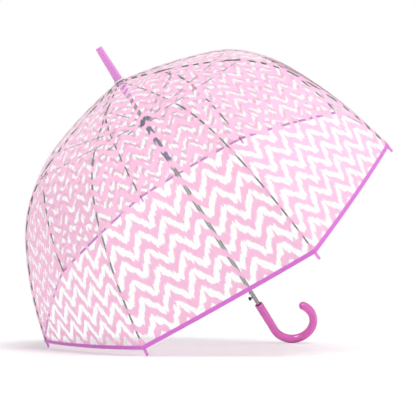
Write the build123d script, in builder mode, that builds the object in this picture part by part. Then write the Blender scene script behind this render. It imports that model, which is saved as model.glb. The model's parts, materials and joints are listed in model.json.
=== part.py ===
"""A child's clear dome umbrella with a crook handle, open and lying on the ground.

All pieces are drawn in the umbrella's own frame, in millimetres: Z along the shaft towards the ferrule,
with the canopy's apex at the origin. Rib pieces are drawn once, on the rib that points along +X, and turned
into their eight places. At the end everything is tipped over until two rib tips and the crook touch the
ground, which is the plane Z = 0.
"""

import os
from math import acos, asin, atan2, cos, degrees, hypot, pi, radians, sin, sqrt

from build123d import *

# ---------------------------------------------------------------- driving dimensions
rib_count = 8
rib_pitch = 360 / rib_count
first_rib = rib_pitch / 2  # azimuth of rib 1, so that ribs 4 and 5 rest on the ground

# canopy profile along a rib: three tangent arcs, given by radius from the shaft and slope below level
shaft_gap_r = 5.0
apex_r, apex_z, apex_slope = 11.4, -1.5, 10.0
crest_r, crest_slope = 190.0, 20.0
knee_r, knee_slope = 300.2, 57.0
hem_r, hem_slope = 380.0, 74.0
flex_slope = 38.0  # where the springy rib takes its bend when the umbrella is closed
joint_slope = 27.6  # where the stretcher meets the rib

film_t = 0.5
tape_t = 1.4
tape_width = 6.5
seam_gap = 0.15

rib_r = 1.25
rib_drop = 2.6  # rib centreline below the film
eye_r, eye_t, eye_hole_r = 1.9, 1.6, 0.6
hinge_ring_r, hinge_wire_r = 10.0, 0.5
crown_pivot_z = -3.9
sleeve_r, sleeve_len = 2.1, 10.0
rivet_r, rivet_head_r, rivet_len = 0.8, 1.4, 5.2
rivet_drop = 3.6  # rivet's centre below the film
stretcher_r, stretcher_side = 1.1, 4.0
tip_r, tip_len, tip_socket = 2.2, 12.0, 7.0

shaft_r, shaft_bore_r = 4.0, 3.4
shaft_top, shaft_bottom = 40.0, -605.0
slip = 0.02  # glued and pressed joints
running = 0.1  # sliding and turning joints

ferrule_base, ferrule_top = 3.2, 68.0
ferrule_base_r, ferrule_tip_r = 7.9, 6.3
washer_r, washer_bottom = 10.5, 0.5

hub_r, hub_slot, hub_core_r = 12.5, 3.0, 6.9
crown_top, crown_hub_bottom, crown_bottom = -2.4, -9.0, -34.0

runner_pivot_z = -86.1
runner_top, runner_hub_bottom, runner_bottom = -80.0, -92.5, -174.0
runner_r = 5.75
stop_r, stop_len = 5.3, 6.0

handle_top, handle_r = -541.0, 8.75
handle_straight, crook_r, crook_sweep = 74.0, 43.5, 214.0
crook_azimuth = 308.3
cup_r, cup_depth = 6.3, 5.0

trigger_azimuth = 128.3
trigger_pin_r, trigger_pin_z = 1.3, -533.0
latch_z, button_z = -507.5, -520.0
lever_t = 1.6

closed_flex_r, closed_tip_r = 14.0, 18.0  # how close the folded ribs lie to the shaft's axis

# ---------------------------------------------------------------- canopy profile
a0, a1, a2, a3 = (radians(a) for a in (apex_slope, crest_slope, knee_slope, hem_slope))
radius_1 = (crest_r - apex_r) / (sin(a1) - sin(a0))
radius_2 = (knee_r - crest_r) / (sin(a2) - sin(a1))
radius_3 = (hem_r - knee_r) / (sin(a3) - sin(a2))
centre_1 = (apex_r - radius_1 * sin(a0), apex_z - radius_1 * cos(a0))
centre_2 = (crest_r - radius_2 * sin(a1), centre_1[1] + (radius_1 - radius_2) * cos(a1))
centre_3 = (knee_r - radius_3 * sin(a2), centre_2[1] + (radius_2 - radius_3) * cos(a2))


def on_rib(slope, depth):
    """Radius and height of the profile where it has this slope, this far inside the film."""
    if slope <= crest_slope:
        centre, radius = centre_1, radius_1
    elif slope <= knee_slope:
        centre, radius = centre_2, radius_2
    else:
        centre, radius = centre_3, radius_3
    a = radians(slope)
    return centre[0] + (radius - depth) * sin(a), centre[1] + (radius - depth) * cos(a)


def mid_gore(slope, depth):
    """The same height halfway between two ribs, where the film lies nearer the shaft."""
    r, z = on_rib(slope, depth)
    return r * cos(radians(rib_pitch / 2)), z


def turned(point, pivot, angle):
    """A point in the rib's plane after the rib has folded down by this angle in degrees."""
    a = radians(-angle)
    r, z = point[0] - pivot[0], point[1] - pivot[1]
    return pivot[0] + r * cos(a) - z * sin(a), pivot[1] + r * sin(a) + z * cos(a)


# ---------------------------------------------------------------- folding
crown_pivot = (hinge_ring_r, crown_pivot_z)
runner_pivot = (hinge_ring_r, runner_pivot_z)
flex_point = on_rib(flex_slope, rib_drop)
joint_point = on_rib(joint_slope, rivet_drop)
hem_point = on_rib(hem_slope, rib_drop)
along_hem = (cos(a3), -sin(a3))
tip_end = (hem_point[0] + tip_len * along_hem[0], hem_point[1] + tip_len * along_hem[1])


def folds_to(point, pivot, closed_r):
    """Degrees that a point turns down about a pivot to reach this radius from the shaft."""
    r, z = point[0] - pivot[0], point[1] - pivot[1]
    return degrees(acos((closed_r - pivot[0]) / hypot(r, z)) - atan2(-z, r))


rib_fold = folds_to(flex_point, crown_pivot, closed_flex_r)
closed_flex = turned(flex_point, crown_pivot, rib_fold)
tip_after_rib = turned(tip_end, crown_pivot, rib_fold)
flex_fold = folds_to(tip_after_rib, closed_flex, closed_tip_r)
closed_joint = turned(joint_point, crown_pivot, rib_fold)
stretcher_len = hypot(joint_point[0] - runner_pivot[0], joint_point[1] - runner_pivot[1])
closed_rise = sqrt(stretcher_len**2 - (closed_joint[0] - runner_pivot[0]) ** 2)
runner_travel = runner_pivot_z - (closed_joint[1] - closed_rise)
stretcher_slope = atan2(joint_point[1] - runner_pivot_z, joint_point[0] - runner_pivot[0])
stretcher_fold = degrees(atan2(closed_rise, closed_joint[0] - runner_pivot[0]) - stretcher_slope)

# ---------------------------------------------------------------- how it lies on the ground
crook_centre_z = handle_top - handle_straight
crook_dir = (cos(radians(crook_azimuth)), sin(radians(crook_azimuth)))
tip_ball = (hem_point[0] + (tip_len - tip_r) * along_hem[0], hem_point[1] + (tip_len - tip_r) * along_hem[1])


def heights(lean):
    """Height above a common level of the resting tips and of the crook, at this lean."""
    up_x, up_z = sin(lean), cos(lean)
    tip = tip_ball[0] * cos(radians(180 - rib_pitch / 2)) * up_x + tip_ball[1] * up_z - tip_r
    crook = min(
        crook_r * (1 - cos(t)) * crook_dir[0] * up_x + (crook_centre_z - crook_r * sin(t)) * up_z
        for t in (radians(crook_sweep) * i / 2000 for i in range(2001))
    )
    return tip, crook - handle_r


low, high = radians(30), radians(60)
while high - low > 1e-9:
    lean = (low + high) / 2
    tip_height, crook_height = heights(lean)
    if crook_height > tip_height:
        high = lean
    else:
        low = lean

# ---------------------------------------------------------------- pieces on the shaft
pieces = []
trigger_plane = Plane(
    origin=(0, 0, 0),
    x_dir=(cos(radians(trigger_azimuth)), sin(radians(trigger_azimuth)), 0),
    z_dir=(sin(radians(trigger_azimuth)), -cos(radians(trigger_azimuth)), 0),
)
crook_plane = Plane(
    origin=(0, 0, 0),
    x_dir=(crook_dir[0], crook_dir[1], 0),
    z_dir=(crook_dir[1], -crook_dir[0], 0),
)

with BuildPart() as shaft:
    with BuildSketch(Plane.XY.offset(shaft_bottom)):
        Circle(shaft_r)
        Circle(shaft_bore_r, mode=Mode.SUBTRACT)
    extrude(amount=shaft_top - shaft_bottom)
    # slot that the trigger's lever comes out of
    with BuildSketch(trigger_plane):
        with Locations((shaft_r, (latch_z + 7 + trigger_pin_z - 4) / 2)):
            Rectangle(5, latch_z + 7 - trigger_pin_z + 4)
    extrude(amount=lever_t / 2 + 0.3, both=True, mode=Mode.SUBTRACT)
    # hole for the trigger's pin
    with BuildSketch(trigger_plane):
        with Locations((trigger_pin_r, trigger_pin_z)):
            Circle(0.7)
    extrude(amount=10, both=True, mode=Mode.SUBTRACT)
shaft.part.label = "shaft_tube"
pieces.append(shaft.part)

with BuildPart() as ferrule:
    with BuildSketch(Plane.XZ):
        with BuildLine():
            Polyline(
                (0, ferrule_base),
                (ferrule_base_r - 0.8, ferrule_base),
                (ferrule_base_r, ferrule_base + 0.8),
                (ferrule_tip_r, ferrule_top - 0.9),
                (ferrule_tip_r - 0.9, ferrule_top),
                (0, ferrule_top),
                close=True,
            )
        make_face()
    revolve(axis=Axis.Z)
    with BuildSketch(Plane.XY.offset(ferrule_base)):
        Circle(shaft_r + slip)
    extrude(amount=shaft_top - ferrule_base + 1, mode=Mode.SUBTRACT)
ferrule.part.label = "ferrule"
pieces.append(ferrule.part)

with BuildPart() as washer:
    with BuildSketch(Plane.XY.offset(washer_bottom)):
        Circle(washer_r)
        Circle(shaft_r + slip, mode=Mode.SUBTRACT)
    extrude(amount=ferrule_base - washer_bottom - slip)
    fillet(washer.edges().filter_by(GeomType.CIRCLE).group_by(Axis.Z)[-1].sort_by(SortBy.RADIUS)[-1], 1.8)
washer.part.label = "ferrule_washer"
pieces.append(washer.part)

# The crown and the runner's head are alike: a slotted hub with a wire ring that the eyes swing on.
with BuildPart() as crown:
    with BuildSketch(Plane.XY.offset(crown_top)):
        Circle(hub_r)
    extrude(amount=crown_hub_bottom - crown_top)
    chamfer(crown.edges().filter_by(GeomType.CIRCLE).group_by(Axis.Z)[0], 1.2)
    with BuildSketch(Plane.XY.offset(crown_bottom)):
        Circle(5.8)
    extrude(amount=crown_hub_bottom - crown_bottom, taper=-1.6)
    with BuildSketch(Plane.XY.offset(crown_top)):
        with PolarLocations(hub_core_r + 5, rib_count, start_angle=first_rib):
            Rectangle(10, hub_slot)
    extrude(amount=crown_hub_bottom - crown_top - 0.01, mode=Mode.SUBTRACT)
    with BuildSketch(Plane.XZ):
        with Locations(crown_pivot):
            Circle(hinge_wire_r + running)
    revolve(axis=Axis.Z, mode=Mode.SUBTRACT)
    with BuildSketch(Plane.XY.offset(crown_bottom)):
        Circle(shaft_r + slip)
    extrude(amount=crown_top - crown_bottom, mode=Mode.SUBTRACT)
crown.part.label = "crown"
pieces.append(crown.part)

with BuildPart() as crown_wire:
    with BuildSketch(Plane.XZ):
        with Locations(crown_pivot):
            Circle(hinge_wire_r)
    revolve(axis=Axis.Z)
crown_wire.part.label = "crown_wire"
pieces.append(crown_wire.part)

with BuildPart() as stop_collar:
    with BuildSketch(Plane.XY.offset(runner_top + running)):
        Circle(stop_r)
        Circle(shaft_r + slip, mode=Mode.SUBTRACT)
    extrude(amount=stop_len)
    chamfer(stop_collar.edges().filter_by(GeomType.CIRCLE).group_by(Axis.Z)[-1].sort_by(SortBy.RADIUS)[-1], 0.7)
stop_collar.part.label = "stop_collar"
pieces.append(stop_collar.part)

with BuildPart() as runner:
    with BuildSketch(Plane.XY.offset(runner_top)):
        Circle(hub_r)
    extrude(amount=runner_hub_bottom - runner_top)
    chamfer(runner.edges().filter_by(GeomType.CIRCLE), 1.2)
    with BuildSketch(Plane.XY.offset(runner_bottom)):
        Circle(runner_r)
    extrude(amount=runner_hub_bottom - runner_bottom)
    # grip bead at the lower end
    with BuildSketch(Plane.XY.offset(runner_bottom)):
        Circle(runner_r + 0.9)
    extrude(amount=3)
    fillet(runner.edges().filter_by(GeomType.CIRCLE).group_by(Axis.Z)[0], 0.8)
    with BuildSketch(Plane.XY.offset(runner_top)):
        with PolarLocations(hub_core_r + 5, rib_count, start_angle=first_rib):
            Rectangle(10, hub_slot)
    extrude(amount=runner_hub_bottom - runner_top - 0.01, mode=Mode.SUBTRACT)
    with BuildSketch(Plane.XZ):
        with Locations(runner_pivot):
            Circle(hinge_wire_r + running)
    revolve(axis=Axis.Z, mode=Mode.SUBTRACT)
    with BuildSketch(Plane.XY.offset(runner_bottom)):
        Circle(shaft_r + running)
    extrude(amount=runner_top - runner_bottom, mode=Mode.SUBTRACT)
    # window that the trigger's latch snaps into when the umbrella is closed
    with BuildSketch(trigger_plane):
        with Locations((runner_r, latch_z + runner_travel)):
            Rectangle(6, 5)
    extrude(amount=lever_t / 2 + 0.6, both=True, mode=Mode.SUBTRACT)
runner.part.label = "runner"
pieces.append(runner.part)

with BuildPart() as runner_wire:
    with BuildSketch(Plane.XZ):
        with Locations(runner_pivot):
            Circle(hinge_wire_r)
    revolve(axis=Axis.Z)
runner_wire.part.label = "runner_wire"
pieces.append(runner_wire.part)

# The opening spring works inside the tube; this is the sleeve that its coils fill.
with BuildPart() as spring:
    with BuildSketch(Plane.XY.offset(-470)):
        Circle(3.1)
        Circle(2.1, mode=Mode.SUBTRACT)
    extrude(amount=290)
spring.part.label = "opening_spring"
pieces.append(spring.part)

with BuildPart() as handle:
    with BuildLine(crook_plane) as crook_path:
        straight = Line((0, handle_top), (0, crook_centre_z))
        JernArc(straight @ 1, (0, -1), crook_r, crook_sweep)
    with BuildSketch(Plane(crook_path.line @ 0, z_dir=crook_path.line % 0)):
        Circle(handle_r)
    sweep()
    fillet(handle.edges().filter_by(GeomType.CIRCLE).group_by(Axis.Z)[-1], 0.9)
    with Locations(crook_path.line @ 1):
        Sphere(handle_r)
    with BuildSketch(Plane.XY.offset(handle_top - cup_depth)):
        Circle(cup_r)
    extrude(amount=cup_depth + 5, mode=Mode.SUBTRACT)
    with BuildSketch(Plane.XY.offset(shaft_bottom - 0.5)):
        Circle(shaft_r + slip)
    extrude(amount=handle_top - shaft_bottom, mode=Mode.SUBTRACT)
handle.part.label = "handle"
pieces.append(handle.part)

with BuildPart() as trigger_lever:
    with BuildSketch(trigger_plane):
        with BuildLine():
            Polyline(
                (0.4, trigger_pin_z - 2),
                (2.2, trigger_pin_z - 2),
                (2.2, button_z - 1.5),
                (8.0, button_z - 1.5),
                (8.0, button_z + 1.5),
                (2.6, button_z + 1.5),
                (2.6, latch_z - 1.8),
                (6.0, latch_z - 1.8),
                (6.0, latch_z - 0.9),
                (3.0, latch_z + 4.0),
                (0.4, latch_z + 4.0),
                close=True,
            )
        make_face()
    extrude(amount=lever_t / 2, both=True)
    with BuildSketch(trigger_plane):
        with Locations((trigger_pin_r, trigger_pin_z)):
            Circle(0.6)
    extrude(amount=3.9, both=True)
trigger_lever.part.label = "trigger_lever"
pieces.append(trigger_lever.part)

with BuildPart() as trigger_button:
    with BuildSketch(trigger_plane):
        with Locations((9.4, button_z)):
            RectangleRounded(5.2, 6.0, 0.8)
    extrude(amount=2.6, both=True)
    fillet(trigger_button.edges().filter_by(GeomType.CIRCLE), 0.5)
    with BuildSketch(trigger_plane):
        with Locations((7.4, button_z)):
            Rectangle(1.2 + 2 * slip, 3 + 2 * slip)
    extrude(amount=lever_t / 2 + slip, both=True, mode=Mode.SUBTRACT)
trigger_button.part.label = "trigger_button"
pieces.append(trigger_button.part)


# ---------------------------------------------------------------- pieces on each rib
def gore_band(slopes, thickness, start=None):
    """Closed outline of the film halfway between two ribs, from the first slope to the last."""
    for side in (-1, 1):
        depth = side * thickness / 2
        for a, b in zip(slopes, slopes[1:]):
            ThreePointArc(mid_gore(a, depth), mid_gore((a + b) / 2, depth), mid_gore(b, depth))
    ends = (slopes[-1],) if start else (slopes[0], slopes[-1])
    for a in ends:
        Line(mid_gore(a, -thickness / 2), mid_gore(a, thickness / 2))
    if start:
        r, z = start[0] * cos(radians(rib_pitch / 2)), start[1]
        Polyline(
            mid_gore(slopes[0], -thickness / 2),
            (r, z + thickness / 2),
            (r, z - thickness / 2),
            mid_gore(slopes[0], thickness / 2),
        )


half = radians(rib_pitch / 2)
gore_plane = Plane(
    origin=(0, 0, 0),
    x_dir=(cos(half), sin(half), 0),
    z_dir=(sin(half), -cos(half), 0),
).offset(seam_gap)
# the gores meet in a seam over each rib, so the film is one solid on each side of it
seam_plane = Plane.XZ.offset(-seam_gap)
start_z = apex_z + (apex_r - shaft_gap_r) * sin(a0) / cos(a0)
lap = 0.03  # degrees left open on each side of the bend line
tape_slope = hem_slope - degrees(tape_width / radius_3)

with BuildPart() as canopy_upper:
    with BuildSketch(gore_plane):
        with BuildLine():
            gore_band((apex_slope, crest_slope, flex_slope - lap), film_t, (shaft_gap_r, start_z))
        make_face()
    extrude(amount=hem_r)
    split(bisect_by=seam_plane, keep=Keep.BOTTOM)
    mirror(about=Plane.XZ)

with BuildPart() as canopy_lower:
    with BuildSketch(gore_plane):
        with BuildLine():
            gore_band((flex_slope + lap, knee_slope, tape_slope - 0.01), film_t)
        make_face()
    extrude(amount=hem_r)
    split(bisect_by=seam_plane, keep=Keep.BOTTOM)
    mirror(about=Plane.XZ)
    # hem tape, folded over the film's edge
    with BuildSketch(gore_plane):
        with BuildLine():
            gore_band((tape_slope, hem_slope), tape_t)
        make_face()
    tape = extrude(amount=hem_r, mode=Mode.PRIVATE)
    tape = split(tape, bisect_by=seam_plane, keep=Keep.BOTTOM, mode=Mode.PRIVATE)
    add(tape)
    mirror(tape, about=Plane.XZ)

with BuildPart() as rib_upper:
    with BuildLine(Plane.XZ) as upper_path:
        root = Line(crown_pivot, on_rib(apex_slope, rib_drop))
        arc_1 = JernArc(root @ 1, (cos(a0), -sin(a0)), radius_1 - rib_drop, apex_slope - crest_slope)
        JernArc(arc_1 @ 1, (cos(a1), -sin(a1)), radius_2 - rib_drop, crest_slope - flex_slope + 0.37)
    with BuildSketch(Plane(upper_path.line @ 0, z_dir=upper_path.line % 0)):
        Circle(rib_r)
    sweep()
    # flattened eye on the crown's wire
    with BuildSketch(Plane.XZ):
        with Locations(crown_pivot):
            Rectangle(2 * eye_r, 2 * eye_r)
    extrude(amount=3, both=True, mode=Mode.SUBTRACT)
    with BuildSketch(Plane.XZ):
        with Locations(crown_pivot):
            Circle(eye_r)
        with Locations((crown_pivot[0] + 1.6, crown_pivot[1] - 0.25)):
            Rectangle(3.2, 2.2, rotation=-apex_slope)
    extrude(amount=eye_t / 2, both=True)
    with BuildSketch(Plane.XZ):
        with Locations(crown_pivot):
            Circle(eye_hole_r)
    extrude(amount=3, both=True, mode=Mode.SUBTRACT)
    # crimped sleeve and rivet that carry the stretcher
    slope = radians(joint_slope)
    sleeve_r0, sleeve_z0 = on_rib(joint_slope, rib_drop)
    with BuildSketch(Plane((sleeve_r0, 0, sleeve_z0), z_dir=(cos(slope), 0, -sin(slope)))):
        Circle(sleeve_r)
    extrude(amount=sleeve_len / 2, both=True)
    with BuildSketch(Plane.XZ):
        with Locations(joint_point):
            Circle(rivet_r)
    extrude(amount=-rivet_len)
    with BuildSketch(Plane.XZ.offset(-rivet_len)):
        with Locations(joint_point):
            Circle(rivet_head_r)
    extrude(amount=0.6)

with BuildPart() as rib_lower:
    with BuildLine(Plane.XZ) as lower_path:
        bend = radians(flex_slope)
        arc_2 = JernArc(flex_point, (cos(bend), -sin(bend)), radius_2 - rib_drop, flex_slope - knee_slope)
        arc_3 = JernArc(arc_2 @ 1, (cos(a2), -sin(a2)), radius_3 - rib_drop, knee_slope - hem_slope)
        Line(arc_3 @ 1, (arc_3 @ 1) + Vector(along_hem[0], 0, along_hem[1]) * (tip_socket - 0.2))
    with BuildSketch(Plane(lower_path.line @ 0, z_dir=lower_path.line % 0)):
        Circle(rib_r)
    sweep()
    with BuildSketch(Plane.XZ):
        with Locations(flex_point):
            Circle(rib_r)
    extrude(amount=rib_r, both=True)

with BuildPart() as rib_tip:
    tip_plane = Plane((hem_point[0], 0, hem_point[1]), z_dir=(along_hem[0], 0, along_hem[1]))
    with BuildSketch(tip_plane.offset(0.4)):
        Circle(tip_r)
    extrude(amount=tip_len - 0.4)
    fillet(rib_tip.edges().filter_by(GeomType.CIRCLE).group_by(Axis.Z)[0], tip_r - 0.05)
    with BuildSketch(tip_plane):
        Circle(rib_r + slip)
    extrude(amount=tip_socket, mode=Mode.SUBTRACT)

with BuildPart() as stretcher:
    inner = Vector(runner_pivot[0], 0, runner_pivot[1])
    outer = Vector(joint_point[0], -stretcher_side, joint_point[1])
    run = outer - inner
    with BuildSketch(Plane(inner, z_dir=run)):
        Circle(stretcher_r)
    extrude(amount=run.length)
    for centre, side, hole in ((runner_pivot, 0, eye_hole_r), (joint_point, stretcher_side, rivet_r + running)):
        with BuildSketch(Plane.XZ.offset(side)):
            with Locations(centre):
                Circle(eye_r)
        extrude(amount=eye_t / 2, both=True)
        with BuildSketch(Plane.XZ.offset(side)):
            with Locations(centre):
                Circle(hole)
        extrude(amount=3, both=True, mode=Mode.SUBTRACT)

for k in range(rib_count):
    turn = Rotation(0, 0, first_rib + k * rib_pitch)
    for master, name in (
        (canopy_upper, "canopy_upper"),
        (canopy_lower, "canopy_lower"),
        (rib_upper, "rib_upper"),
        (rib_lower, "rib_lower"),
        (rib_tip, "rib_tip"),
        (stretcher, "stretcher"),
    ):
        copy = turn * master.part
        copy.label = f"{name}_{k + 1}"
        pieces.append(copy)

# ---------------------------------------------------------------- on the ground
tipped = [Rotation(0, -degrees(lean), 0) * piece for piece in pieces]
boxes = [piece.bounding_box() for piece in tipped]
middle_x = (min(b.min.X for b in boxes) + max(b.max.X for b in boxes)) / 2
middle_y = (min(b.min.Y for b in boxes) + max(b.max.Y for b in boxes)) / 2
ground_z = min(b.min.Z for b in boxes)

os.makedirs("parts", exist_ok=True)
for piece, source in zip(tipped, pieces):
    placed = Pos(-middle_x, -middle_y, -ground_z) * piece
    placed.label = source.label
    export_step(placed, f"parts/{source.label}.step")

print(f"lean {degrees(lean):.4f} shift {-middle_x:.4f} {-middle_y:.4f} {-ground_z:.4f}")
print(f"rib fold {rib_fold:.4f} flex fold {flex_fold:.4f} stretcher fold {stretcher_fold:.4f}")
print(f"runner travel {runner_travel:.4f} stretcher length {stretcher_len:.3f}")
print(f"joint {joint_point} flex {flex_point} hem {hem_point} closed joint {closed_joint}")
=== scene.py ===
import json
from math import atan2, cos, hypot, pi, radians, sin

import bpy
from mathutils import Matrix, Quaternion, Vector, noise


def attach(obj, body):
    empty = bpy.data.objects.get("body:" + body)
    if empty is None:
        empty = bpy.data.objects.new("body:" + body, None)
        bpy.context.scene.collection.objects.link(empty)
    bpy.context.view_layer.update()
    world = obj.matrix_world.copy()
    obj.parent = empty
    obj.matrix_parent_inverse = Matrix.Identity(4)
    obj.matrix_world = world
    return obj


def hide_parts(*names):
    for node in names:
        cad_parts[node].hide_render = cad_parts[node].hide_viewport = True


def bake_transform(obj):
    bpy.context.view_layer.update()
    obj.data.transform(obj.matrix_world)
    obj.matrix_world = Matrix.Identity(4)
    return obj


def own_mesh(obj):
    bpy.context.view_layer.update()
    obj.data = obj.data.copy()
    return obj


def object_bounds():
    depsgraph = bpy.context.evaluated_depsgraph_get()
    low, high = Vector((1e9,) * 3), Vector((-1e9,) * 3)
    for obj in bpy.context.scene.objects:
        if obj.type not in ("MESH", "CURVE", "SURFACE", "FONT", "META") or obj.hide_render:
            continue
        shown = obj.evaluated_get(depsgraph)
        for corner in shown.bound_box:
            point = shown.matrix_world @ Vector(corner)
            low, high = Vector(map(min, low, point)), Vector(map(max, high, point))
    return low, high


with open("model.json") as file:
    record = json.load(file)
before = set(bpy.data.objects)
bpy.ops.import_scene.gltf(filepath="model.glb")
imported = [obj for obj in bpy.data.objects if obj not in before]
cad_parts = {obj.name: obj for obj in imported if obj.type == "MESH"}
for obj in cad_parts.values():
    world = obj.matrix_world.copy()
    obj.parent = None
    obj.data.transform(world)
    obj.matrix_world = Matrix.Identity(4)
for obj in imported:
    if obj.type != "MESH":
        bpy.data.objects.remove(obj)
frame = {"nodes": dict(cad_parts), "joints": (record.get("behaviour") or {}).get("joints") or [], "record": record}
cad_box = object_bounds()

nodes, record = frame["nodes"], frame["record"]
scene = bpy.context.scene

# ---------------------------------------------------------------- the umbrella's own axes
# z runs along the shaft towards the ferrule, x and y across it, and the origin is the canopy's apex
slide = next(j for j in frame["joints"] if j["name"] == "runner_slide")
ferrule_end = next(m for m in record["mounts"] if m["name"] == "ferrule_end")
axis_z = -Vector(slide["axis"]).normalized()
axis_y = Vector((0, 1, 0))
axis_x = axis_y.cross(axis_z)
apex = Vector(ferrule_end["pos_m"]) - 0.068 * axis_z


def along(radial, tangential, height, azimuth):
    """A direction, or a length in metres, in the plane of this azimuth."""
    c, s = cos(radians(azimuth)), sin(radians(azimuth))
    return (
        axis_x * (radial * c - tangential * s)
        + axis_y * (radial * s + tangential * c)
        + axis_z * height
    )


def point(radial, tangential, height, azimuth):
    """A place given in millimetres, as a point in metres."""
    return apex + along(radial, tangential, height, azimuth) / 1000


# ---------------------------------------------------------------- canopy profile
# three tangent arcs along a rib, by radius from the shaft and slope below level, as in the CAD
ARC_SLOPES = [radians(a) for a in (10, 20, 57, 74)]
ARC_RADII = (11.4, 190, 300.2, 380)
APEX_Z = -1.5
FLEX_SLOPE = radians(38)
RIB_DROP = 2.6

arcs = []
centre = None
for a, b, r0, r1 in zip(ARC_SLOPES, ARC_SLOPES[1:], ARC_RADII, ARC_RADII[1:]):
    radius = (r1 - r0) / (sin(b) - sin(a))
    if centre is None:
        centre = (r0 - radius * sin(a), APEX_Z - radius * cos(a))
    else:
        last = arcs[-1]
        centre = (
            last[2][0] + (last[3] - radius) * sin(a),
            last[2][1] + (last[3] - radius) * cos(a),
        )
    arcs.append((a, b, centre, radius))
HEM_TO_APEX = sum(radius * (b - a) for a, b, _, radius in arcs)
FLEX_V = arcs[2][3] * (arcs[2][1] - arcs[2][0]) + arcs[1][3] * (arcs[1][1] - FLEX_SLOPE)


def profile(v, depth=0.0):
    """Radius, height and slope on a rib, this far up from the hem along the film."""
    left = v
    for a, b, c, radius in reversed(arcs):
        if left <= radius * (b - a) or (a, b) == (arcs[0][0], arcs[0][1]):
            slope = b - left / radius
            return c[0] + (radius - depth) * sin(slope), c[1] + (radius - depth) * cos(slope), slope
        left -= radius * (b - a)


HALF = radians(22.5)
HEM_HALF = ARC_RADII[3] * sin(HALF)
BULGE = 6.0


def gore(rib, side, share, v, lift=0.0):
    """A point of the gore beside a rib: share 0 on the rib and 1 halfway to the next rib, v from the hem."""
    r, z, slope = profile(v)
    half = r * sin(HALF)
    u = half * (share - 1)
    steep = atan2(sin(slope), cos(slope) * cos(HALF))
    swell = BULGE * (max(half, 0) / HEM_HALF) ** 1.3 * (1 - (u / half) ** 2 if half > 0 else 0)
    out = swell + lift
    azimuth = rib_azimuth(rib) + side * 22.5
    if share < 1e-6 and abs(lift) > 0:
        u -= lift * sin(steep) * sin(HALF) / cos(HALF)
    return point(r * cos(HALF) + out * sin(steep), u * side, z + out * cos(steep), azimuth)


def rib_azimuth(rib):
    return 22.5 + 45 * (rib - 1)


def collapse_axis(rib, side, v_low, v_high):
    """An axis across a half gore, square to its rib between the two heights, and an anchor on the rib in the
    middle of that stretch.
    """
    low, high = profile(v_low), profile(v_high)
    line = along(low[0] - high[0], 0, low[1] - high[1], rib_azimuth(rib)).normalized()
    across = along(-(sin(HALF) ** 2), side * sin(HALF) * cos(HALF), 0, rib_azimuth(rib))
    across -= across.dot(line) * line
    middle = profile((v_low + v_high) / 2)
    radial, height = ((low[i] + high[i] + middle[i]) / 3 for i in (0, 1))
    anchor = point(radial, 0, height, rib_azimuth(rib))
    return across.normalized(), anchor


# ---------------------------------------------------------------- mesh helpers
def new_mesh(name, verts, faces, uv=None, smooth=True):
    mesh = bpy.data.meshes.new(name)
    mesh.from_pydata([tuple(v) for v in verts], [], faces)
    if uv:
        layer = mesh.uv_layers.new(name="UVMap")
        for loop in mesh.loops:
            layer.data[loop.index].uv = uv[loop.vertex_index]
    mesh.polygons.foreach_set("use_smooth", [smooth] * len(mesh.polygons))
    mesh.update()
    o = bpy.data.objects.new(name, mesh)
    scene.collection.objects.link(o)
    return o


def grid_faces(rows, cols, flip=False, close=False):
    faces = []
    for i in range(rows - 1):
        for j in range(cols if close else cols - 1):
            k = (j + 1) % cols
            f = (i * cols + j, i * cols + k, (i + 1) * cols + k, (i + 1) * cols + j)
            faces.append(f[::-1] if flip else f)
    return faces


def tube(path, radius, sides=8, cap=True):
    """Vertices and faces of a round tube along a path; radius is one number or one for each point."""
    verts, faces = [], []
    n = len(path)
    side = None
    for i, p in enumerate(path):
        ahead = (path[min(i + 1, n - 1)] - path[max(i - 1, 0)]).normalized()
        if side is None:
            side = ahead.orthogonal().normalized()
        side = (side - side.dot(ahead) * ahead).normalized()
        up = ahead.cross(side)
        r = radius[i] if isinstance(radius, (list, tuple)) else radius
        for k in range(sides):
            a = 2 * pi * k / sides
            verts.append(p + (side * cos(a) + up * sin(a)) * r)
    faces = grid_faces(n, sides, close=True)
    if cap:
        faces.append(tuple(range(sides))[::-1])
        faces.append(tuple((n - 1) * sides + k for k in range(sides)))
    return verts, faces


def join(parts):
    """One list of vertices and faces from several."""
    verts, faces = [], []
    for v, f in parts:
        base = len(verts)
        verts += v
        faces += [tuple(i + base for i in face) for face in f]
    return verts, faces


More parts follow.
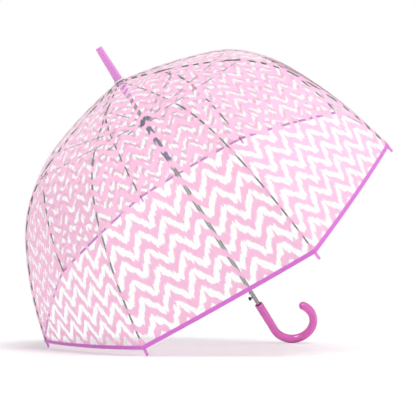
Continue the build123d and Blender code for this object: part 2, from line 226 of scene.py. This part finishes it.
# ---------------------------------------------------------------- material helpers
class Nodes:
    """A short way to write a material's nodes."""

    def __init__(self, name):
        self.material = bpy.data.materials.new(name)
        self.material.use_nodes = True
        self.tree = self.material.node_tree
        self.tree.nodes.clear()
        self.out = self.tree.nodes.new("ShaderNodeOutputMaterial")

    def add(self, kind, values=None, **settings):
        n = self.tree.nodes.new("ShaderNode" + kind)
        for k, v in settings.items():
            setattr(n, k, v)
        for k, v in (values or {}).items():
            self.put(n, k, v)
        return n

    def put(self, n, key, value):
        if isinstance(value, bpy.types.NodeSocket):
            self.tree.links.new(value, n.inputs[key])
        elif isinstance(value, bpy.types.Node):
            self.tree.links.new(value.outputs[0], n.inputs[key])
        else:
            n.inputs[key].default_value = value

    def math(self, operation, a, b=None, c=None):
        values = {0: a}
        if b is not None:
            values[1] = b
        if c is not None:
            values[2] = c
        return self.add("Math", values, operation=operation).outputs[0]

    def ramp(self, value, low, high, to_low=0.0, to_high=1.0, smooth=True):
        return self.add(
            "MapRange",
            {"Value": value, "From Min": low, "From Max": high, "To Min": to_low, "To Max": to_high},
            interpolation_type="SMOOTHSTEP" if smooth else "LINEAR",
        ).outputs[0]

    def mix(self, factor, a, b):
        n = self.add("Mix", data_type="RGBA")
        for key, value in ((0, factor), (6, a), (7, b)):
            if isinstance(value, bpy.types.NodeSocket):
                self.tree.links.new(value, n.inputs[key])
            else:
                n.inputs[key].default_value = value
        return n.outputs[2]

    def noise(self, vector, scale, detail=2.0, rough=0.5, dims="3D"):
        return self.add(
            "TexNoise",
            {"Vector": vector, "Scale": scale, "Detail": detail, "Roughness": rough},
            noise_dimensions=dims,
        ).outputs[0]

    def own_axes(self):
        """Coordinates in the umbrella's own axes, in metres, carried along with the piece."""
        turn = Matrix((axis_x, axis_y, axis_z))
        place = -(turn @ apex)
        return self.add(
            "Mapping",
            {
                "Vector": self.add("TexCoord").outputs["Object"],
                "Location": tuple(place),
                "Rotation": tuple(turn.to_euler()),
            },
            vector_type="POINT",
        ).outputs[0]

    def scaled(self, vector, scale):
        return self.add("VectorMath", {0: vector, 1: scale}, operation="MULTIPLY").outputs[0]

    def bump(self, height, distance, strength=1.0, normal=None):
        values = {"Height": height, "Distance": distance, "Strength": strength}
        if normal is not None:
            values["Normal"] = normal
        return self.add("Bump", values).outputs[0]

    def finish(self, shader):
        self.tree.links.new(shader, self.out.inputs["Surface"])
        return self.material


def rgb(r, g, b):
    """A colour given as it looks on a screen, 0 to 255, in linear light."""
    shares = [c / 255 for c in (r, g, b)]
    linear = [c / 12.92 if c <= 10 / 255 else ((c + 0.055) / 1.055) ** 2.4 for c in shares]
    return (*linear, 1.0)


def shade(colour, share):
    return tuple(c * share for c in colour[:3]) + (1.0,)


# ---------------------------------------------------------------- plastics
def moulded(name, colour, gloss=0.28, coat=0.35, grain=0.000007, soft=0.0, streak=0.06):
    """Moulded plastic: faint flow marks in the colour, orange peel, and fine handling scratches."""
    m = Nodes(name)
    p = m.own_axes()
    cloud = m.noise(p, 38, 3, 0.55)
    flow = m.noise(m.scaled(p, (300, 300, 22)), 1.0, 2, 0.6)
    tint = m.mix(m.ramp(cloud, 0.3, 0.7), shade(colour, 1 - streak), shade(colour, 1 + streak))
    tint = m.mix(m.ramp(flow, 0.52, 0.75, 0, 0.12), tint, shade(colour, 1.12))
    scratch = m.noise(m.scaled(p, (2600, 2600, 90)), 1.0, 1, 0.5)
    scratch = m.ramp(scratch, 0.66, 0.8)
    rough = m.math(
        "ADD",
        m.ramp(cloud, 0.25, 0.75, gloss * 0.8, gloss * 1.25),
        m.math("MULTIPLY", scratch, 0.18),
    )
    peel = m.noise(p, 900, 1.5)
    height = m.math("SUBTRACT", peel, m.math("MULTIPLY", scratch, 0.5))
    shader = m.add(
        "BsdfPrincipled",
        {
            "Base Color": tint,
            "Roughness": rough,
            "IOR": 1.48,
            "Coat Weight": coat,
            "Coat Roughness": 0.06,
            "Subsurface Weight": soft,
            "Subsurface Radius": (0.004, 0.0015, 0.003),
            "Subsurface Scale": 0.4,
            "Normal": m.bump(height, grain, 0.6),
        },
    )
    return m.finish(shader.outputs[0])


handle_plastic = moulded("handle_plastic", rgb(212, 95, 180), 0.22, 0.8, soft=0.0, streak=0.03)
ferrule_plastic = moulded("ferrule_plastic", rgb(216, 134, 206), 0.26, 0.6, soft=0.0, streak=0.03)
tip_plastic = moulded("tip_plastic", rgb(220, 128, 212), 0.3, 0.3, soft=0.0)
crown_plastic = moulded("crown_plastic", rgb(206, 160, 216), 0.34, 0.2, soft=0.1)
washer_plastic = moulded("washer_plastic", rgb(206, 209, 212), 0.3, 0.3, soft=0.15, streak=0.03)
runner_plastic = moulded("runner_plastic", rgb(104, 105, 138), 0.34, 0.25)
button_plastic = moulded("button_plastic", rgb(26, 25, 27), 0.36, 0.2)


# ---------------------------------------------------------------- metals
def metal(name, colour, rough, draw=0.25, dull=None, dull_share=0.0, along_z=True):
    """Plated or bare steel: fine draw marks along it, cloudy polish and small dull specks."""
    m = Nodes(name)
    p = m.own_axes()
    lines = m.noise(m.scaled(p, (2400, 2400, 26) if along_z else (900, 900, 900)), 1.0, 2, 0.65)
    cloud = m.noise(p, 60, 3, 0.6)
    speck = m.ramp(m.noise(p, 1500, 1, 0.5), 0.68, 0.76)
    tint = m.mix(m.ramp(lines, 0.3, 0.7, 0, draw), colour, shade(colour, 0.72))
    if dull:
        tint = m.mix(m.math("MULTIPLY", m.ramp(cloud, 0.45, 0.7), dull_share), tint, dull)
    tint = m.mix(m.math("MULTIPLY", speck, 0.3), tint, shade(colour, 0.45))
    roughness = m.math(
        "ADD",
        m.ramp(cloud, 0.3, 0.75, rough * 0.8, rough * 1.4),
        m.math("MULTIPLY", m.ramp(lines, 0.4, 0.8), 0.1),
    )
    shader = m.add(
        "BsdfPrincipled",
        {
            "Base Color": tint,
            "Metallic": 1.0,
            "Roughness": roughness,
            "Normal": m.bump(m.math("ADD", lines, m.math("MULTIPLY", speck, -0.4)), 0.0000025, 0.5),
        },
    )
    return m.finish(shader.outputs[0])


def painted(name, colour):
    """Black-dipped wire: a thin gloss coat that has worn to bare metal in small spots."""
    m = Nodes(name)
    p = m.own_axes()
    cloud = m.noise(p, 90, 4, 0.65)
    worn = m.math("MULTIPLY", m.ramp(m.noise(p, 420, 2, 0.6), 0.68, 0.74), m.ramp(cloud, 0.5, 0.62))
    tint = m.mix(worn, colour, rgb(150, 148, 146))
    shader = m.add(
        "BsdfPrincipled",
        {
            "Base Color": tint,
            "Metallic": m.math("MULTIPLY", worn, 1.0),
            "Roughness": m.ramp(cloud, 0.3, 0.7, 0.26, 0.44),
            "Specular IOR Level": 0.3,
            "Normal": m.bump(m.noise(p, 1400, 2), 0.00003, 0.6),
        },
    )
    return m.finish(shader.outputs[0])


shaft_steel = metal("shaft_steel", rgb(164, 161, 163), 0.08, 0.35)
wire_steel = metal("wire_steel", rgb(186, 186, 190), 0.22, along_z=False)
stretcher_steel = metal("stretcher_steel", rgb(188, 184, 190), 0.28, 0.3, rgb(150, 146, 152), 0.5)
lever_steel = metal("lever_steel", rgb(176, 152, 128), 0.3, 0.3, rgb(120, 92, 70), 0.5)
rib_steel = painted("rib_steel", rgb(20, 19, 21))

for node, obj in nodes.items():
    kind = {
        "shaft_tube": shaft_steel,
        "opening_spring": wire_steel,
        "crown_wire": wire_steel,
        "runner_wire": wire_steel,
        "stop_collar": shaft_steel,
        "handle": handle_plastic,
        "ferrule": ferrule_plastic,
        "ferrule_washer": washer_plastic,
        "crown": crown_plastic,
        "runner": runner_plastic,
        "trigger_lever": lever_steel,
        "trigger_button": button_plastic,
    }.get(node)
    if kind is None:
        kind = {
            "rib_t": tip_plastic,
            "rib_u": rib_steel,
            "rib_l": rib_steel,
            "stret": stretcher_steel,
        }.get(node[:5])
    if kind:
        if not obj.material_slots:
            obj.data.materials.append(kind)
        for s in obj.material_slots:
            s.material = kind

# ---------------------------------------------------------------- printed film
PERIOD, ROW = 43.0, 29.6


def curve_node(m, value, points, top):
    """A smooth outline through set points; both axes run from 0 to 1, scaled to top."""
    n = m.add("FloatCurve", {"Value": value})
    curve = n.mapping.curves[0]
    while len(curve.points) > 2:
        curve.points.remove(curve.points[1])
    curve.points[0].location = points[0]
    curve.points[1].location = points[-1]
    for x, y in points[1:-1]:
        curve.points.new(x, y)
    for p in curve.points:
        p.handle_type = "AUTO_CLAMPED"
    n.mapping.update()
    return m.math("MULTIPLY", n.outputs[0], top)


def film_material():
    """Clear film printed with a woven-look zigzag: the colour follows each gore's own flat coordinates."""
    m = Nodes("printed_film")
    uv = m.add("UVMap", uv_map="UVMap").outputs[0]
    xyz = m.add("SeparateXYZ", {0: uv})
    u = m.math("MULTIPLY", xyz.outputs[0], 100.0)
    v = m.math("MULTIPLY", xyz.outputs[1], 100.0)
    flat = m.add("CombineXYZ", {0: u, 1: v}).outputs[0]
    # distance from the nearest peak, 0 to 1 of half a period
    x = m.math("MULTIPLY", m.math("PINGPONG", m.math("ADD", u, PERIOD * 200), PERIOD / 2), 2 / PERIOD)
    mid = curve_node(
        m, x, [(0, 0.11), (0.08, 0.215), (0.17, 0.275), (0.32, 0.35), (0.48, 0.455),
               (0.62, 0.58), (0.76, 0.71), (0.88, 0.765), (1, 0.80)], 40.0)
    thick = curve_node(
        m, x, [(0, 0.22), (0.08, 0.40), (0.17, 0.46), (0.32, 0.47), (0.48, 0.37),
               (0.62, 0.45), (0.74, 0.50), (0.86, 0.45), (1, 0.31)], 40.0)
    down = m.math("SUBTRACT", m.math("MULTIPLY", v, -1.0), mid)
    # every warp thread has slipped a little up or down, and ends a little early or late
    stroke = m.math("FLOOR", m.math("ADD", m.math("DIVIDE", down, ROW), 200.5))
    slip = m.noise(m.scaled(flat, (0.44, 0.022, 1)), 1.0, 2.0, 0.65)
    slip = m.math("MULTIPLY", m.math("SUBTRACT", slip, 0.5), 8.0)
    fuzz = 0.0
    for thread, up_down, ends in ((2.8, 3.4, 2.6), (1.1, 2.2, 1.8)):
        cell = m.add("CombineXYZ", {0: m.math("FLOOR", m.math("DIVIDE", u, thread)), 1: stroke, 2: thread})
        chance = m.add("TexWhiteNoise", {"Vector": cell.outputs[0]}, noise_dimensions="3D")
        pair = m.add("SeparateColor", {0: chance.outputs["Color"]})
        slip = m.math("ADD", slip, m.math("MULTIPLY", m.math("SUBTRACT", pair.outputs[0], 0.5), up_down))
        fuzz = m.math("ADD", m.math("MULTIPLY", m.math("SUBTRACT", pair.outputs[1], 0.5), ends), fuzz)
    down = m.math("ADD", down, slip)
    row = m.math("DIVIDE", down, ROW)
    inside = m.math("ABSOLUTE", m.math("SUBTRACT", m.math("FRACT", m.math("ADD", row, 200.5)), 0.5))
    inside = m.math("MULTIPLY", inside, ROW)
    edge = m.math("SUBTRACT", inside, m.math("MULTIPLY", thick, 0.45))
    edge = m.math("ADD", edge, fuzz)
    printed = m.ramp(edge, -0.45, 0.45)
    # the ink: streaks along the warp, cloudy coverage and fine grain
    streak = m.noise(m.scaled(flat, (1.1, 0.03, 1)), 1.0, 3.0, 0.6)
    grain = m.noise(flat, 2.2, 2.0, 0.7)
    cloud = m.noise(flat, 0.03, 2.0)
    ink = m.mix(m.ramp(streak, 0.3, 0.7), rgb(242, 184, 215), rgb(247, 198, 225))
    ink = m.mix(m.ramp(cloud, 0.35, 0.65, 0, 0.5), ink, rgb(243, 188, 217))
    ink = m.mix(m.ramp(grain, 0.55, 0.8, 0, 0.35), ink, rgb(251, 214, 233))
    cover = m.math("MULTIPLY", printed, m.ramp(grain, 0.3, 0.75, 0.985, 0.955))
    # welded seam along each rib: two narrow frosted lines
    edge_uv = m.add("SeparateXYZ", {0: m.add("UVMap", uv_map="Seam").outputs[0]})
    from_rib = m.math("MULTIPLY", edge_uv.outputs[0], 100.0)
    line = m.math("ABSOLUTE", m.math("SUBTRACT", from_rib, 3.4))
    weld = m.ramp(line, 0.25, 0.55, 1.0, 0.0)
    knurl = m.math("MULTIPLY", m.math("PINGPONG", v, 0.6), 1.6)
    weld_face = m.ramp(from_rib, 3.2, 3.5, 1.0, 0.0)
    # surface: ripples from tension, thickness of the ink, weld marks
    ripple = m.noise(m.scaled(flat, (0.045, 0.016, 1)), 1.0, 2.0, 0.45)
    height = m.math("MULTIPLY", ripple, 2.2)
    height = m.math("ADD", height, m.math("MULTIPLY", printed, 0.02))
    height = m.math("ADD", height, m.math("MULTIPLY", m.math("MULTIPLY", weld_face, knurl), 0.03))
    height = m.math("ADD", height, m.math("MULTIPLY", weld, 0.12))
    normal = m.bump(height, 0.001, 0.8)
    diffuse = m.add("BsdfDiffuse", {"Color": ink, "Normal": normal})
    through = m.add("BsdfTranslucent", {"Color": ink, "Normal": normal})
    body = m.add("MixShader", {0: 0.28, 1: diffuse.outputs[0], 2: through.outputs[0]})
    clear = m.add("BsdfTransparent", {"Color": (0.972, 0.975, 0.972, 1)})
    haze = m.add("BsdfDiffuse", {"Color": (0.95, 0.95, 0.96, 1), "Normal": normal})
    haze_share = m.math("ADD", 0.075, m.math("MULTIPLY", weld, 0.35))
    haze_share = m.math("ADD", haze_share, m.math("MULTIPLY", weld_face, 0.10))
    sheet = m.add("MixShader", {0: haze_share, 1: clear.outputs[0], 2: haze.outputs[0]})
    base = m.add("MixShader", {0: cover, 1: sheet.outputs[0], 2: body.outputs[0]})
    gloss = m.add("BsdfGlossy", {"Color": (1, 1, 1, 1), "Roughness": 0.10, "Normal": normal})
    # the same sheen from either side of the film
    facing = m.add("LayerWeight", {"Blend": 0.5, "Normal": normal}).outputs["Facing"]
    sheen = m.math("MULTIPLY_ADD", m.math("POWER", facing, 5.0), 0.55, 0.022)
    both = m.add("MixShader", {0: sheen, 1: base.outputs[0], 2: gloss.outputs[0]})
    return m.finish(both.outputs[0])


printed_film = film_material()

# how each gore was cut from the printed roll: sideways and lengthways shift of the print, in millimetres
PRINT_SHIFT = {1: (9.0, 4.0), 2: (-13.0, 22.0), 3: (6.0, 15.0), 4: (-15.6, 20.6), 5: (21.5, 10.7),
               6: (-26.0, 12.3), 7: (3.0, 26.0), 8: (17.0, 8.0)}


def half_gore(name, rib, side, v_low, v_high, rows, cols):
    """One half of a gore, from its rib to its middle line."""
    cut = rib if side > 0 else (rib - 2) % 8 + 1
    shift_u, shift_v = PRINT_SHIFT[cut]
    verts, uv, seam = [], [], []
    for i in range(rows):
        v = v_low + (v_high - v_low) * i / (rows - 1)
        r = profile(v)[0]
        half = r * sin(HALF)
        for j in range(cols):
            share = j / (cols - 1)
            verts.append(gore(rib, side, share, v))
            u = side * half * (share - 1)
            uv.append(((u - shift_u + cut * PERIOD * 7) / 100, (v - shift_v - ROW * cut * 11) / 100))
            seam.append((half * share / 100, v / 100))
    o = new_mesh(name, verts, grid_faces(rows, cols, flip=side < 0), uv)
    layer = o.data.uv_layers.new(name="Seam")
    for loop in o.data.loops:
        layer.data[loop.index].uv = seam[loop.vertex_index]
    o.data.materials.append(printed_film)
    return o


def flat_size(v_low, v_high):
    """Greatest width, length and area of a half gore before it is sewn, in metres."""
    steps = 60
    area = length = 0.0
    width = max(profile(v_low)[0], profile(v_high)[0]) * sin(HALF)
    for i in range(steps):
        a = profile(v_low + (v_high - v_low) * i / steps)
        b = profile(v_low + (v_high - v_low) * (i + 1) / steps)
        step = hypot((a[0] - b[0]) * cos(HALF), a[1] - b[1])
        length += step
        area += step * (a[0] + b[0]) / 2 * sin(HALF)
    return width / 1000, length / 1000, area / 1e6


# ---------------------------------------------------------------- hem tape
def tape_material():
    """Narrow woven binding: plain weave, a sheen along its folds, faint soiling and uneven dye."""
    m = Nodes("hem_tape")
    uv = m.add("SeparateXYZ", {0: m.add("UVMap", uv_map="UVMap").outputs[0]})
    u = m.math("MULTIPLY", uv.outputs[0], 100.0)
    v = m.math("MULTIPLY", uv.outputs[1], 100.0)
    flat = m.add("CombineXYZ", {0: u, 1: v}).outputs[0]
    warp = m.math("SINE", m.math("MULTIPLY", u, 2 * pi / 0.62))
    weft = m.math("SINE", m.math("MULTIPLY", v, 2 * pi / 0.5))
    weave = m.math("MULTIPLY", warp, weft)
    rib = m.math("ABSOLUTE", weft)
    cloud = m.noise(flat, 0.12, 3, 0.6)
    fibre = m.noise(m.scaled(flat, (0.8, 7.0, 1)), 1.0, 3, 0.6)
    base = rgb(212, 106, 206)
    tint = m.mix(m.ramp(weave, -0.8, 0.8), shade(base, 0.82), shade(base, 1.08))
    tint = m.mix(m.ramp(fibre, 0.35, 0.7, 0, 0.4), tint, rgb(224, 136, 218))
    tint = m.mix(m.ramp(cloud, 0.4, 0.7, 0, 0.25), tint, shade(base, 0.9))
    height = m.math("ADD", m.math("MULTIPLY", weave, 0.5), m.math("MULTIPLY", m.math("ADD", rib, fibre), 0.5))
    shader = m.add(
        "BsdfPrincipled",
        {
            "Base Color": tint,
            "Roughness": m.ramp(fibre, 0.3, 0.7, 0.42, 0.6),
            "Sheen Weight": 0.35,
            "Sheen Roughness": 0.4,
            "Specular IOR Level": 0.45,
            "Normal": m.bump(height, 0.00012, 0.7),
        },
    )
    return m.finish(shader.outputs[0])


def thread_material():
    m = Nodes("sewing_thread")
    p = m.own_axes()
    ply = m.noise(m.scaled(p, (3000, 3000, 3000)), 1.0, 2, 0.6)
    shader = m.add(
        "BsdfPrincipled",
        {
            "Base Color": m.mix(m.ramp(ply, 0.3, 0.7), rgb(196, 84, 188), rgb(236, 160, 232)),
            "Roughness": 0.5,
            "Sheen Weight": 0.3,
            "Normal": m.bump(ply, 0.0001, 0.6),
        },
    )
    return m.finish(shader.outputs[0])


hem_tape = tape_material()
sewing_thread = thread_material()

# section of the folded tape: distance from the hem and lift off the film, in millimetres
TAPE_SECTION = [
    (6.2, 0.12), (6.1, 0.42), (5.5, 0.62), (4.3, 0.66), (2.9, 0.72), (1.4, 0.74),
    (0.2, 0.62), (-0.35, 0.3), (-0.5, 0.0), (-0.35, -0.3), (0.2, -0.6), (1.4, -0.7),
    (2.9, -0.68), (4.2, -0.62), (5.2, -0.55), (5.7, -0.36), (5.7, -0.12),
]


def half_tape(name, rib, side):
    """The binding folded over the hem, with a row of stitches, from a rib to the gore's middle line."""
    cols, rows = 40, len(TAPE_SECTION)
    verts, uv = [], []
    run = 0.0
    for i, (v, lift) in enumerate(TAPE_SECTION):
        if i:
            run += hypot(v - TAPE_SECTION[i - 1][0], lift - TAPE_SECTION[i - 1][1])
        for j in range(cols):
            share = j / (cols - 1)
            u = share * HEM_HALF
            wave = noise.noise(Vector((u * 0.06, rib * 3.1 + side, v * 0.05)))
            pucker = 0.09 * sin(u * 1.9 + rib * 2) + 0.22 * wave
            fade = min(1.0, share * 8, (1 - share) * 8)
            out = 1.0 if lift >= 0 else -1.0
            shift, raised = pucker * fade * 0.5, out * abs(pucker) * fade * 0.5
            verts.append(gore(rib, side, share, v + shift, lift + raised))
            uv.append((side * u / 100 + rib, run / 100))
    faces = grid_faces(rows, cols, flip=side > 0)
    o_parts = [(verts, faces)]
    stitches = []
    pitch, length = 3.1, 2.3
    count = int(HEM_HALF / pitch)
    for k in range(count):
        start = (k + 0.5) * pitch - length / 2
        slip = 0.12 * noise.noise(Vector((k * 1.7, rib * 5.3, side)))
        path = []
        for q in range(5):
            share = (start + length * q / 4) / HEM_HALF
            lift = 0.60 + 0.26 * sin(pi * q / 4)
            path.append(gore(rib, side, share, 4.8 + slip, lift))
        stitches.append(tube(path, 0.00021, 6))
    base_faces = len(faces)
    v_all, f_all = join(o_parts + stitches)
    uv += [(0.0, 0.0)] * (len(v_all) - len(verts))
    o = new_mesh(name, v_all, f_all, uv)
    o.data.materials.append(hem_tape)
    o.data.materials.append(sewing_thread)
    for f in o.data.polygons[base_faces:]:
        f.material_index = 1
    return o


# ---------------------------------------------------------------- canopy, rib by rib
for rib in range(1, 9):
    upper_node, lower_node = f"canopy_upper_{rib}", f"canopy_lower_{rib}"
    for side, letter in ((-1, "a"), (1, "b")):
        upper = half_gore(f"film_upper_{rib}{letter}", rib, side, FLEX_V, HEM_TO_APEX, 30, 13)
        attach(upper, f"upper_{rib}")
        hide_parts(upper_node)
        axis, anchor = collapse_axis(rib, side, FLEX_V, HEM_TO_APEX)
        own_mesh(upper)
        width, length, area = flat_size(FLEX_V, HEM_TO_APEX)

        lower = half_gore(f"film_lower_{rib}{letter}", rib, side, 0.6, FLEX_V, 30, 15)
        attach(lower, f"lower_{rib}")
        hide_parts(lower_node)
        axis, anchor = collapse_axis(rib, side, 0, FLEX_V)
        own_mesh(lower)

        tape = half_tape(f"hem_tape_{rib}{letter}", rib, side)
        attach(tape, f"lower_{rib}")
        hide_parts(lower_node)
        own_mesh(tape)
        width, length, area = flat_size(0.6, FLEX_V)

# the film's middle, gathered in small pleats between the washer and the crown
verts, uv = [], []
ring = 96
for i, r in enumerate((4.5, 6.0, 8.0, 10.0, 11.6, 13.0)):
    for k in range(ring):
        a = 360 * k / ring
        pleat = 0.16 * (i / 5) * sin(radians(a * 16)) if i < 5 else 0.0
        z = APEX_Z - (r - 11.4) * sin(ARC_SLOPES[0]) / cos(ARC_SLOPES[0]) + pleat - 0.15
        shrink = 1 - (1 - cos(HALF)) * (0.5 - 0.5 * cos(radians((a - 22.5) * 8)))
        verts.append(point(r * (shrink if i > 3 else 1), 0, z, a))
        uv.append((k * 0.01, r / 100))
root = new_mesh("film_centre", verts, grid_faces(6, ring, close=True), uv)
layer = root.data.uv_layers.new(name="Seam")
for loop in root.data.loops:
    layer.data[loop.index].uv = (0.2, 0.0)
root.data.materials.append(printed_film)
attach(root, "shaft")


# ---------------------------------------------------------------- rib bends and tip lashings
def on_rib_line(v, depth=RIB_DROP):
    r, z, _ = profile(v, depth)
    return r, z


LASHING_R = 0.00236  # just outside the end cap
for rib in range(1, 9):
    azimuth = rib_azimuth(rib)
    path, radii = [], []
    for k in range(15):
        t = k / 14
        v = FLEX_V + 11 - 22 * t
        r, z = on_rib_line(v)
        path.append(point(r, 0, z, azimuth))
        radii.append(0.00172 if 0.06 < t < 0.94 else 0.00148)
    verts, faces = tube(path, radii, 14)
    sleeve = new_mesh(f"rib_sleeve_{rib}", verts, faces)
    sleeve.data.materials.append(rib_steel)
    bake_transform(sleeve)

    # thread wound round the tip where the hem's corner is tied to it
    r0, z0 = on_rib_line(3.0)
    r1, z1 = on_rib_line(0.4)
    a, b = point(r0, 0, z0, azimuth), point(r1, 0, z1, azimuth)
    way = (b - a).normalized()
    side = along(0, 1, 0, azimuth)
    up = way.cross(side)
    path = []
    turns, steps = 5.2, 18
    for k in range(int(turns * steps) + 1):
        t = k / (turns * steps)
        wander = 0.00008 * noise.noise(Vector((k * 0.2, rib, 0)))
        turn = 2 * pi * k / steps
        path.append(a + (b - a) * t + (side * cos(turn) + up * sin(turn)) * (LASHING_R + wander))
    verts, faces = tube(path, 0.00027, 6)
    lashing = new_mesh(f"tip_lashing_{rib}", verts, faces)
    lashing.data.materials.append(sewing_thread)
    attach(lashing, f"lower_{rib}")

# ---------------------------------------------------------------- studio
FLOOR = 30
corners = [(x * FLOOR, y * FLOOR, 0) for x, y in ((-1, -1), (1, -1), (1, 1), (-1, 1))]
floor_mesh = new_mesh("floor", corners, [(0, 1, 2, 3)], smooth=False)
m = Nodes("floor_paint")
dust = m.noise(m.add("TexCoord").outputs["Object"], 9, 3)
floor_shader = m.add(
    "BsdfPrincipled",
    {
        "Base Color": m.mix(m.ramp(dust, 0.3, 0.7), (0.865, 0.865, 0.868, 1), (0.875, 0.875, 0.878, 1)),
        "Roughness": 0.7,
        "Specular IOR Level": 0.2,
    },
)
floor_mesh.data.materials.append(m.finish(floor_shader.outputs[0]))

world = bpy.data.worlds.new("studio")
world.use_nodes = True
scene.world = world
tree = world.node_tree
tree.nodes.clear()
output = tree.nodes.new("ShaderNodeOutputWorld")
split = tree.nodes.new("ShaderNodeSeparateXYZ")
tree.links.new(tree.nodes.new("ShaderNodeTexCoord").outputs["Generated"], split.inputs[0])


def sky_part(low_at, low_white, high_at, high_white):
    grade = tree.nodes.new("ShaderNodeValToRGB")
    for element, place, white in zip(grade.color_ramp.elements, (low_at, high_at), (low_white, high_white)):
        element.position = place
        element.color = (white, white, white, 1)
    tree.links.new(split.outputs[2], grade.inputs[0])
    n = tree.nodes.new("ShaderNodeBackground")
    tree.links.new(grade.outputs[0], n.inputs[0])
    return n


def sky_choice(ray, otherwise, chosen):
    n = tree.nodes.new("ShaderNodeMixShader")
    tree.links.new(rays.outputs[ray], n.inputs[0])
    tree.links.new(otherwise.outputs[0], n.inputs[1])
    tree.links.new(chosen.outputs[0], n.inputs[2])
    return n


# the plain backdrop, the soft tent that lights the object, and what its glossy parts mirror
rays = tree.nodes.new("ShaderNodeLightPath")
tent = sky_part(0.25, 0.88, 0.85, 0.36)
mirrored = sky_part(0.5, 1.0, 0.9, 0.4)
backdrop = sky_part(0.5, 1.0, 0.9, 1.0)
seen = sky_choice("Is Camera Ray", sky_choice("Is Glossy Ray", tent, mirrored), backdrop)
tree.links.new(seen.outputs[0], output.inputs[0])

low, high = cad_box
middle = (low + high) / 2


def area_light(name, place, size, power, aim):
    data = bpy.data.lights.new(name, "AREA")
    data.shape = "RECTANGLE"
    data.size, data.size_y = size
    data.energy = power
    o = bpy.data.objects.new(name, data)
    scene.collection.objects.link(o)
    o.location = place
    o.rotation_mode = "QUATERNION"
    o.rotation_quaternion = (aim - place).to_track_quat("-Z", "Y")
    return o


eye = Vector((-0.81356, -0.90809, 0.06466))
look = Vector((0.67476, 0.71991, 0.16254)).normalized()
right = look.cross(Vector((0, 0, 1))).normalized()
area_light("key", middle + right * 1.5 + Vector((0, 0, 1.5)) - look * 0.5, (1.1, 1.1), 5, middle)
area_light("front", middle - look * 1.9 - right * 0.9 + Vector((0, 0, 0.9)), (0.7, 1.4), 4, middle)
# a long light overhead in front that only draws the bright line round the crook
gloss_only = bpy.data.collections.new("gloss_only")
for name in ("shaft_tube", "handle"):
    gloss_only.objects.link(nodes[name])
strip_place = middle - look * 1.1 - right * 0.35 + Vector((0, 0, 1.4))
strip = area_light("crook_strip", strip_place, (1.0, 0.45), 24, middle)
strip.visible_diffuse = False
strip.light_linking.receiver_collection = gloss_only
strip.light_linking.blocker_collection = gloss_only

# a dark card behind on the right, seen only in reflections, draws the far edge of shaft and handle
toward = (right * 0.75 + look * 0.6 + Vector((0, 0, 0.3))).normalized()
across = toward.cross(Vector((0, 0, 1))).normalized()
rise = across.cross(toward)
card = new_mesh(
    "dark_card",
    [
        middle + toward * 1.6 + across * x + rise * y
        for x, y in ((-1.0, -0.6), (1.0, -0.6), (1.0, 0.7), (-1.0, 0.7))
    ],
    [(0, 1, 2, 3)],
    smooth=False,
)
m = Nodes("dark_card")
card.data.materials.append(m.finish(m.add("BsdfDiffuse", {"Color": (0.02, 0.02, 0.02, 1)}).outputs[0]))
card.visible_camera = card.visible_diffuse = card.visible_shadow = card.visible_transmission = False

sky = bpy.data.lights.new("overhead", "SUN")
sky.angle = radians(30)
sky.energy = 2.15
overhead = bpy.data.objects.new("overhead", sky)
scene.collection.objects.link(overhead)
overhead.visible_glossy = False
overhead.rotation_mode = "QUATERNION"
overhead.rotation_quaternion = (look * 0.3 + right * -0.2 + Vector((0, 0, -1))).to_track_quat("-Z", "Y")

# ---------------------------------------------------------------- camera
lens = bpy.data.cameras.new("camera")
lens.lens = 54.70
lens.sensor_width = 36
lens.clip_start, lens.clip_end = 0.01, 200
camera = bpy.data.objects.new("camera", lens)
scene.collection.objects.link(camera)
camera.location = eye
camera.rotation_mode = "QUATERNION"
camera.rotation_quaternion = Quaternion(look, radians(-0.2)) @ look.to_track_quat("-Z", "Y")
scene.camera = camera
scene.view_settings.view_transform = "Standard"
scene.view_settings.look = "None"
